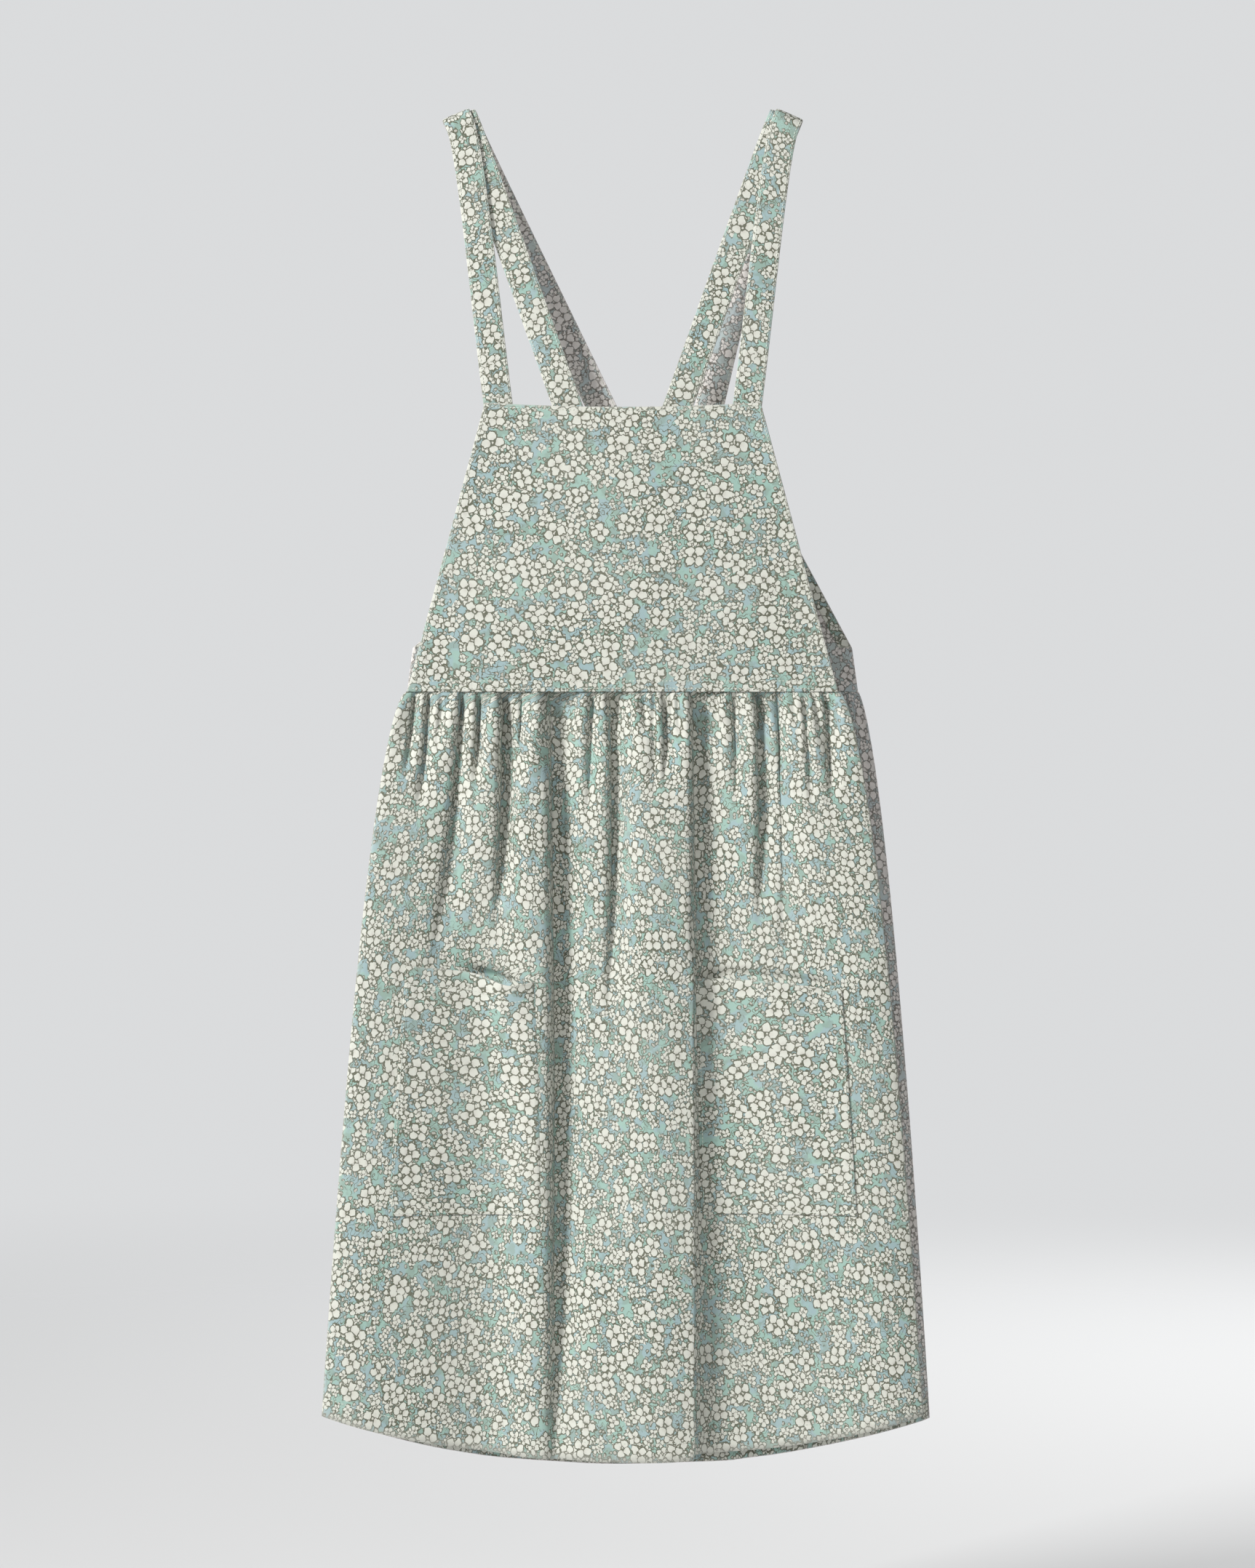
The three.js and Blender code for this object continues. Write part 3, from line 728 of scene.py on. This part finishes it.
for side, word in ((-1, "left"), (1, "right")):
    lift = STRAP_THICK / 2
    over = over_arm(side, lift, 0)
    bib_inset = PANEL_LAYER + STRAP_THICK + LAYER_GAP + PANEL_LAYER
    back_inset = PANEL_LAYER + (STRAP_THICK + LAYER_GAP if side < 0 else 0)
    front_foot = strap_foot(side * INNER_FOOT, BIB_TOP_Z, -1, bib_inset)
    back_foot = strap_foot(BACK_LEAN + side * STRAP_APART, BACK_TOP_Z, 1, back_inset)
    places = strap_leg(over[0][0], over[0][1], front_foot)[::-1] + over
    places += strap_leg(over[-1][0], over[-1][1], back_foot)
    band, sewn, length = strap_band("cross_strap_cloth_" + word, places, 4.0 + side)
    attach(band, "bodice")
    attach(sewn, "bodice")
    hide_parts("cross_strap_" + word)

    over = over_arm(side, lift + STRAP_THICK + LAYER_GAP, OUTER_STEP)
    front_foot = strap_foot(side * OUTER_FOOT, BIB_TOP_Z, -1, PANEL_LAYER)
    tail_end, tail_tilt = over[-1]
    places = strap_leg(over[0][0], over[0][1], front_foot)[::-1] + over
    for share in np.linspace(0, 1, 13)[1:]:
        place = tail_end.copy()
        place[0] += math.sin(tail_tilt) * OUTER_BACK_TAIL * share
        place[2] -= math.cos(tail_tilt) * OUTER_BACK_TAIL * share
        place[1] += LAYER_GAP * share
        places.append((place, tail_tilt))
    band, sewn, length = strap_band("outer_strap_cloth_" + word, places, 7.0 + side)
    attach(band, "bodice")
    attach(sewn, "bodice")
    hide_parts("outer_strap_" + word)

# ---------------------------------------------------------------------------------------------
# The skirt: a front and a back panel of the print, each gathered into the waist seam. Small
# gathers fall out within a hand's width, and a few of them run on down as soft deep folds.
# ---------------------------------------------------------------------------------------------
SKIRT_LENGTH = 0.631
SKIRT_WIDTH = 0.60
HEM_HALF = 0.246
HEM_RISE = 0.038
FLARE_POWER = 0.57
PUFF = 0.003
BELLY = 0.008
DEEPEST = 0.022
BACK_DROP = 0.011
BACK_HEM_EASE = 0.005
BACK_HEM_LEAN = 0.004
BACK_SETTLE = 0.3
SKIRT_COLUMNS = 330
STEP_X = 0.0585
STEP_RISE = 0.0048


def skirt_half(fall):
    return WAIST_HALF + (HEM_HALF - WAIST_HALF) * np.clip(fall, 0, 1) ** FLARE_POWER


def fold(x, fall, top_x, low_x, end, depth, top_width, low_width, lap):
    """How far one fold sinks in, and how far its walls shift, at spots on the skirt.
    With lap above 0 the left wall laps over the fold, and below 0 the right wall does."""
    go = np.clip(fall / end, 0, 1)
    width = top_width + (low_width - top_width) * go
    t = (x - top_x - (low_x - top_x) * go) / width
    come = np.clip(fall / 0.03 + 0.25, 0, 1)
    fade = np.clip((end - fall) / (0.65 * end), 0, 1)
    strength = come * come * (3 - 2 * come) * fade * fade * (3 - 2 * fade)
    steep = 1 - 0.45 * abs(lap)
    easy = 1 + 1.1 * abs(lap)
    left = steep if lap > 0 else easy
    right = steep if lap < 0 else easy
    sink = depth * strength * np.exp(-((t / np.where(t < 0, left, right)) ** 2))
    pinch = -0.4 * width * strength * t * np.exp(-t * t / 1.6)
    push = lap * 0.75 * width * strength * np.exp(-(((t + np.sign(lap) * 0.7) / 0.75) ** 2))
    return sink, (pinch + push) * min(1.0, depth / 0.010)


def small_gathers(seed, count):
    """Uneven little gathers along the waist, the same ones each time."""
    chance = np.random.default_rng(seed)
    spots = (np.arange(count) + 0.5) / count * 2 - 1
    spots = spots + chance.uniform(-0.6, 0.6, count) / count
    gathers = []
    for share in spots:
        x = share * (WAIST_HALF - 0.002)
        end = chance.uniform(0.06, 0.19)
        depth = chance.uniform(0.0032, 0.0070)
        width = chance.uniform(0.0016, 0.0027)
        drift = x * 0.06 + chance.uniform(-0.004, 0.004)
        low_width = width * chance.uniform(1.5, 3.0)
        gathers.append((x, x + drift, end, depth, width, low_width, chance.uniform(-0.7, 0.7)))
    return gathers


# Each fold: where it starts and ends across, how far it falls, its depth, its width at the top
# and lower down, and how far one of its sides laps over it.
front_folds = [
    (-0.171, -0.179, 0.13, 0.0110, 0.0024, 0.0044, 0.6),
    (-0.160, -0.168, 0.18, 0.0120, 0.0028, 0.0052, 0.5),
    (-0.133, -0.157, 0.42, 0.0130, 0.0038, 0.0130, 0.7),
    (-0.119, -0.122, 0.14, 0.0130, 0.0026, 0.0038, 0.5),
    (-0.100, -0.103, 0.33, 0.0300, 0.0050, 0.0060, 0.8),
    (-0.083, -0.085, 0.13, 0.0110, 0.0024, 0.0038, 0.5),
    (-0.0612, -0.0550, 1.15, 0.0520, 0.0066, 0.0100, 0.9),
    (-0.026, -0.029, 0.19, 0.0130, 0.0032, 0.0054, 0.5),
    (-0.011, -0.010, 0.46, 0.0330, 0.0054, 0.0070, 0.8),
    (0.033, 0.035, 0.14, 0.0110, 0.0024, 0.0042, 0.5),
    (0.0560, 0.0590, 0.40, 0.0240, 0.0046, 0.0070, 0.8),
    (0.091, 0.094, 0.17, 0.0130, 0.0028, 0.0048, 0.5),
    (0.109, 0.113, 0.34, 0.0300, 0.0048, 0.0068, 0.8),
    (0.125, 0.134, 0.42, 0.0120, 0.0036, 0.0130, 0.7),
    (0.165, 0.172, 0.17, 0.0120, 0.0028, 0.0050, 0.5),
]
back_folds = [
    (-0.150, -0.180, 0.45, 0.0120, 0.0056, 0.0160, 0.5),
    (-0.102, -0.118, 1.10, 0.0150, 0.0058, 0.0200, 0.6),
    (-0.055, -0.058, 0.40, 0.0120, 0.0050, 0.0130, -0.4),
    (-0.018, -0.008, 0.95, 0.0145, 0.0056, 0.0180, 0.6),
    (0.030, 0.034, 0.35, 0.0120, 0.0048, 0.0120, 0.3),
    (0.072, 0.088, 1.20, 0.0155, 0.0058, 0.0200, -0.7),
    (0.118, 0.130, 0.40, 0.0110, 0.0050, 0.0150, 0.4),
    (0.160, 0.186, 0.60, 0.0110, 0.0056, 0.0180, -0.4),
]


def skirt_shape(x, fall, folds, waves, sink=0.0):
    """The depth and the sideways lean of a skirt panel, at spots that hang straight down."""
    swell = PUFF * (1 - np.exp(-fall / 0.006)) + BELLY * (1 - np.exp(-fall / 0.06))
    lean = 0 * x
    for each in folds:
        more_sink, more_lean = fold(x, fall, *each)
        sink = sink + more_sink
        lean = lean + more_lean
    depth = WAIST_DEPTH - 0.0010 + swell - DEEPEST * np.tanh(sink / DEEPEST)
    for centre, low_centre, width, height, start, end in waves:
        t = (x - (centre + (low_centre - centre) * fall)) / width
        strength = np.clip((fall - start) / (end - start), 0, 1)
        depth = depth + height * strength * strength * (3 - 2 * strength) * np.exp(-t * t)
    return depth, lean


# Each wave: its middle at the waist and at the hem, its width and height, and the shares of the
# fall where it begins and is full.
front_waves = [
    (-0.200, -0.222, 0.040, 0.0050, 0.02, 0.4),
    (-0.110, -0.112, 0.042, -0.0120, 0.10, 0.5),
    (-0.078, -0.078, 0.018, 0.0040, 0.05, 0.4),
    (0.024, 0.030, 0.036, 0.0070, 0.05, 0.5),
    (0.190, 0.216, 0.034, 0.0060, 0.05, 0.4),
]
back_waves = [
    (-0.200, -0.215, 0.040, 0.0040, 0.05, 0.5),
    (-0.060, -0.065, 0.040, 0.0050, 0.10, 0.5),
    (0.035, 0.040, 0.040, 0.0050, 0.10, 0.5),
    (0.150, 0.160, 0.045, 0.0040, 0.10, 0.5),
]


def deep_fold(x, fall, crest, low_crest, fade_from, end, depth, wall):
    """How far one of the long folds sinks in: at its crest the left side ends sharply, falls
    away over the width of its wall, and then rises slowly to the right."""
    come = np.clip(fall / 0.05 + 0.2, 0, 1)
    gone = np.clip((fall - fade_from) / (end - fade_from), 0, 1)
    strength = come * (1 - gone * gone * (3 - 2 * gone))
    past = np.clip(x - crest - (low_crest - crest) * np.clip(fall, 0, 1), 0, 1) / wall
    return depth * strength * past * np.exp(1 - past)


def long_folds(x, fall):
    sink = deep_fold(x, fall, -0.0580, -0.051, 0.50, 1.0, 0.012, 0.014 + 0.016 * fall)
    return sink + deep_fold(x, fall, 0.0570, 0.0590, 0.9, 2.5, 0.021, 0.010 + 0.026 * fall)


def skirt_spots(side, fall, share):
    """Spots on a skirt panel for shares across, -1 to 1, and of the fall, 0 to 1."""
    settled = np.clip(fall, 0, 1) ** BACK_SETTLE
    ease = BACK_EASE + (BACK_HEM_EASE - BACK_EASE) * settled if side > 0 else 0.0
    middle = BACK_WAIST_LEAN + (BACK_HEM_LEAN - BACK_WAIST_LEAN) * settled if side > 0 else 0.0
    drop = BACK_DROP if side > 0 else 0.0
    straight = share * skirt_half(fall)
    low = SKIRT_LENGTH + drop - HEM_RISE * np.abs(share) ** 2.2
    z = WAIST_Z + 0.0008 - fall * low
    if side < 0:
        folds = front_folds + small_gathers(11, 34)
        long = long_folds(straight, fall)
        depth, lean = skirt_shape(straight, fall, folds, front_waves, long)
        # The weight of the pockets pulls a hollow into the skirt just above each mouth.
        above_left = (z + 0.7065 + 0.32 * (straight + 0.1075)) / 0.0036
        above_right = (z + 0.7055 + 0.010 * ((straight - 0.060) / 0.118) ** 2) / 0.0045
        over_right = np.clip((straight - 0.058) / 0.008, 0, 1)
        over_right = over_right * np.clip((0.176 - straight) / 0.01, 0, 1)
        depth = depth - 0.012 * np.exp(-(((straight + 0.108) / 0.016) ** 2) - above_left**2)
        depth = depth - 0.0048 * over_right * np.exp(-(above_right**2))
        # The long right fold lifts the hem beside it by a small step.
        past_step = np.clip(straight - STEP_X, 0, 1)
        notch = STEP_RISE * np.exp(-past_step / 0.03) * (straight > STEP_X)
    else:
        depth, lean = skirt_shape(straight, fall, back_folds + small_gathers(23, 34), back_waves)
        notch = 0
    side_tuck = (0.0012 if side < 0 else -0.004) * np.clip((np.abs(share) - 0.965) / 0.035, 0, 1) ** 2
    x = middle + straight + share * ease + lean
    return np.stack([x, side * (depth - side_tuck), z + notch * fall**4], axis=-1)


def flat_cut(spots, width, print_at):
    """Each spot's place in the flat cut: along its row by the cloth's own length."""
    steps = np.linalg.norm(np.diff(spots, axis=1), axis=2)
    run = np.concatenate([np.zeros((len(spots), 1)), np.cumsum(steps, axis=1)], axis=1)
    run = run / run[:, -1:] * width
    return np.stack([run + print_at, spots[..., 2] - spots[:1, :, 2]], axis=-1)


fall_rows = np.concatenate(
    [
        np.linspace(0, 0.16, 46)[:-1],
        np.linspace(0.16, 0.345, 18)[:-1],
        np.linspace(0.345, 0.405, 17)[:-1],
        np.linspace(0.405, 1, 52),
    ]
)
share_columns = np.linspace(-1, 1, SKIRT_COLUMNS)
skirts = {}
for side, word, body in ((-1, "front", "front_skirt"), (1, "back", "back_skirt")):
    spots = skirt_spots(side, fall_rows[:, None], share_columns[None, :])
    cut = flat_cut(spots, SKIRT_WIDTH, 10.0 + side)
    skirt = cloth_panel("skirt_cloth_" + word, spots, cut, faces_back=side > 0, worn="lrb")
    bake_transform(skirt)
    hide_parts("skirt_" + word)
    skirts[word] = (skirt, spots)

# ---------------------------------------------------------------------------------------------
# The hems: the lower edge of each skirt panel is turned up 18 mm inside and held by a row of
# stitches.
# ---------------------------------------------------------------------------------------------
HEM_DEPTH = 0.018
HEM_ROW = 0.0155


def hem_fall(up, share, side):
    """The fall at a height above the hem."""
    low = SKIRT_LENGTH + (BACK_DROP if side > 0 else 0.0) - HEM_RISE * np.abs(share) ** 2.2
    return 1 - up / low


for side, word in ((-1, "front"), (1, "back")):
    skirt, spots = skirts[word]
    hem_share = np.linspace(-0.998, 0.998, SKIRT_COLUMNS)[None, :]
    above = np.linspace(HEM_DEPTH, 0.0006, 6)[:, None]
    turned = skirt_spots(side, hem_fall(above, hem_share, side), hem_share + 0 * above)
    turned[..., 1] -= side * 0.0012
    cut = flat_cut(turned, SKIRT_WIDTH, 14.0 + side)
    hem = cloth_panel("hem_cloth_" + word, turned, cut, faces_back=side < 0, worn="t", thick=0.0006)
    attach(hem, word + "_skirt")
    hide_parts("hem_facing_" + word)
    row = np.linspace(-0.99, 0.99, 700)
    line = skirt_spots(side, hem_fall(HEM_ROW, row, side), row)
    line[:, 1] += side * 0.0001
    hem_row = stitches("hem_thread_" + word, [line], (0.0, side * 1.0, 0.0))
    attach(hem_row, word + "_skirt")

# ---------------------------------------------------------------------------------------------
# The patch pockets: two plain pieces of the print, turned in all round and stitched to the front
# skirt along three edges. The mouth is faced with 16 mm, and the left one gapes a little.
# ---------------------------------------------------------------------------------------------
MOUTH_Z = -0.708
POCKET_DEPTH = 0.195
POCKET_INNER = 0.060
POCKET_WIDTH = 0.118
MOUTH_FACING = 0.016


def skirt_depth_at(x, z, slack):
    """The depth of the front skirt's outer face under a spot, smoothed over the slack's width."""
    share = x / skirt_half((WAIST_Z - z) / SKIRT_LENGTH)
    fall = (WAIST_Z - z) / (SKIRT_LENGTH - HEM_RISE * np.abs(share) ** 2.2)
    total = 0
    for shift, weight in ((-1, 0.25), (0, 0.5), (1, 0.25)):
        near = x + shift * slack
        depth, _ = skirt_shape(near, fall, front_folds, front_waves, long_folds(near, fall))
        total = total + weight * depth
    return total


def pocket_edges(side, z):
    """The left and right edges of a pocket, which spread as the skirt widens downwards."""
    at_mouth = skirt_half((WAIST_Z - MOUTH_Z) / SKIRT_LENGTH)
    spread_out = skirt_half((WAIST_Z - z) / SKIRT_LENGTH) / at_mouth
    near = POCKET_INNER * spread_out
    far = (POCKET_INNER + POCKET_WIDTH) * spread_out
    return (near, far) if side > 0 else (-far, -near)


def pocket_spots(side, down, share, inset=0.0, behind=0.0):
    """Spots on a pocket: down from its mouth, 0 to 1, and across it from left to right."""
    if side < 0:
        mouth = MOUTH_Z + 0.010 - 0.012 * share - 0.008 * np.exp(-(((share - 0.72) / 0.17) ** 2))
    else:
        mouth = MOUTH_Z - 0.001 - 0.010 * share**2
    z = mouth - down * (POCKET_DEPTH + mouth - MOUTH_Z)
    left, right = pocket_edges(side, z)
    x = left + inset + (right - left - 2 * inset) * share
    open_at, gape, reach = (0.70, 0.0100, 0.15) if side < 0 else (0.45, 0.0042, 0.34)
    held = np.clip(np.minimum(share, 1 - share) / 0.16, 0, 1)
    pouch = gape * np.exp(-(((share - open_at) / reach) ** 2)) * np.exp(-down / 0.16) * held
    full = 0.0022 * np.sin(np.pi * np.clip(share, 0, 1)) * np.sin(np.pi * np.clip(down, 0, 1) ** 0.8)
    turned = 0.0004 * np.clip((0.009 - (right - left) * np.minimum(share, 1 - share)) / 0.001, 0, 1)
    y = -(skirt_depth_at(x, z, 0.010 * held) + 0.0009 + pouch + full + turned) + behind
    return np.stack([x, y, z], axis=-1)


for side, word in ((-1, "left"), (1, "right")):
    pocket_down = spread(70, 0, 1, edge=0.006)[:, None]
    pocket_share = spread(60, 0, 1, edge=0.01)[None, :]
    spots = pocket_spots(side, pocket_down, pocket_share)
    cut = np.stack([spots[..., 0] + 17.0, spots[..., 2] + 0 * pocket_share], axis=-1)
    pocket = cloth_panel("pocket_cloth_" + word, spots, cut, worn="t")
    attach(pocket, "front_skirt")
    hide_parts("pocket_" + word)
    sides = np.linspace(0.012, 0.988, 90)
    inner_edge = EDGE_ROW / POCKET_WIDTH
    across = np.linspace(inner_edge, 1 - inner_edge, 60)
    rows = [
        pocket_spots(side, sides, np.full_like(sides, inner_edge)),
        pocket_spots(side, sides, np.full_like(sides, 1 - inner_edge)),
        pocket_spots(side, np.full_like(across, 0.988), across),
        pocket_spots(side, np.full_like(across, 0.072), across),
    ]
    pocket_rows = stitches("pocket_thread_" + word, rows, front_way)
    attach(pocket_rows, "front_skirt")
    facing_down = np.linspace(0.004, MOUTH_FACING / POCKET_DEPTH, 8)[:, None]
    facing_share = np.linspace(0.02, 0.98, 50)[None, :]
    spots = pocket_spots(side, facing_down, facing_share, behind=0.0011)
    cut = np.stack([spots[..., 0] + 19.0, spots[..., 2]], axis=-1)
    name = "pocket_facing_" + word
    # Its spots lie against the pocket's inside, and its thickness grows away from the pocket.
    facing = cloth_panel(name, spots, cut, faces_back=True, worn="b", thick=-0.0005)
    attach(facing, "front_skirt")
    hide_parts("pocket_mouth_facing_" + word)

# ---------------------------------------------------------------------------------------------
# The waist tapes: a 12 mm tape of the cotton covers the raw gathers inside each half of the
# waist seam, just above the skirt.
# ---------------------------------------------------------------------------------------------
for side, word in ((-1, "front"), (1, "back")):
    tape_z = np.linspace(WAIST_Z + 0.012, WAIST_Z + 0.0006, 6)[:, None]
    tape_share = np.linspace(-1, 1, 120)[None, :]
    tape_x = tape_share * (bib_half(WAIST_Z + 0.012) - 0.0086) + 0 * tape_z
    lumps = 0.0003 * np.sin(tape_share * 84 + np.sin(tape_share * 31))
    tape = inner_layer(
        "waist_tape_" + word,
        tape_x,
        tape_z + 0 * tape_x,
        bodice_depth(tape_z) - 0.0029 + lumps + 0 * tape_x,
        side=side,
        print_at=(5.0, 0.4),
    )
    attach(tape, "bodice")
    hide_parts(word + "_waist_tape")

# ---------------------------------------------------------------------------------------------
# The pale floor under the hanging apron, which fades away towards its rim.
# ---------------------------------------------------------------------------------------------
FLOOR_Z = -1.32
FLOOR_RADIUS = 7.0
PALE = (0.66, 0.66, 0.66)

floor_mesh = bpy.data.meshes.new("floor")
rings = []
floor_faces = []
for ring, radius in enumerate((0.4, 1.5, 3.5, FLOOR_RADIUS)):
    for turn in range(64):
        angle = math.tau * turn / 64
        rings.append((radius * math.cos(angle), radius * math.sin(angle), FLOOR_Z))
        if ring:
            low = (ring - 1) * 64
            after = (turn + 1) % 64
            floor_faces.append((low + turn, low + 64 + turn, low + 64 + after, low + after))
floor_faces.append(tuple(range(64)))
floor_mesh.from_pydata(rings, [], floor_faces)
floor = in_scene("floor", floor_mesh)
floor_paint, floor_tree = empty_finish("pale floor")
floor_spot = add_node(floor_tree, "TexCoord", {}).outputs["Object"]
floor_far = add_node(floor_tree, "VectorMath", {0: floor_spot}, operation="LENGTH").outputs[1]
floor_matt = add_node(floor_tree, "BsdfPrincipled", {"Base Color": (*PALE, 1), "Roughness": 0.9})
floor_gone = add_node(floor_tree, "BsdfTransparent", {})
floor_fade = soft_step(floor_tree, floor_far, 0.9, 4.2)
floor_feeds = {0: floor_fade, 1: floor_matt.outputs[0], 2: floor_gone.outputs[0]}
floor_mixed = add_node(floor_tree, "MixShader", floor_feeds)
add_node(floor_tree, "OutputMaterial", {"Surface": floor_mixed.outputs[0]})
floor_mesh.materials.append(floor_paint)

# ---------------------------------------------------------------------------------------------
# The studio: a soft light from the upper left in front, a weaker one from straight in front, a
# third from behind, and an even pale surround.
# ---------------------------------------------------------------------------------------------
surround = bpy.data.worlds.new("pale surround")
bpy.context.scene.world = surround
surround.use_nodes = True
sky = surround.node_tree
sky.nodes.clear()
seen = add_node(sky, "LightPath", {}).outputs["Is Camera Ray"]
shining = add_node(sky, "Background", {"Color": (0.96, 0.98, 1.0, 1), "Strength": 0.14})
shown = add_node(sky, "Background", {"Color": (0.80, 0.81, 0.82, 1), "Strength": 0.88})
both = add_node(sky, "MixShader", {0: seen, 1: shining.outputs[0], 2: shown.outputs[0]})
add_node(sky, "OutputWorld", {"Surface": both.outputs[0]})


def soft_light(name, place, aim, size, power):
    """A square lamp at a place, turned towards what it lights."""
    lamp = bpy.data.lights.new(name, "AREA")
    lamp.shape = "SQUARE"
    lamp.size = size
    lamp.energy = power
    light = in_scene(name, lamp)
    light.location = place
    light.rotation_euler = (Vector(aim) - Vector(place)).to_track_quat("-Z", "Y").to_euler()


soft_light("key_light", (-2.9, -2.4, 1.1), (0, 0, -0.6), 0.9, 190)
soft_light("front_light", (0.3, -4.0, -0.2), (0, 0, -0.6), 1.0, 42)
soft_light("back_light", (1.8, 3.2, 1.0), (0, 0, -0.5), 1.6, 150)

# ---------------------------------------------------------------------------------------------
# The camera stands level, three metres in front of the apron.
# ---------------------------------------------------------------------------------------------
eye = bpy.data.cameras.new("camera")
eye.sensor_width = 36
eye.lens = 83.5
eye.clip_end = 100
camera = in_scene("camera", eye)
camera.location = (0.0039, -3.0, -0.5496)
camera.rotation_euler = (math.pi / 2, 0, 0)
bpy.context.scene.camera = camera
bpy.context.scene.view_settings.view_transform = "Standard"
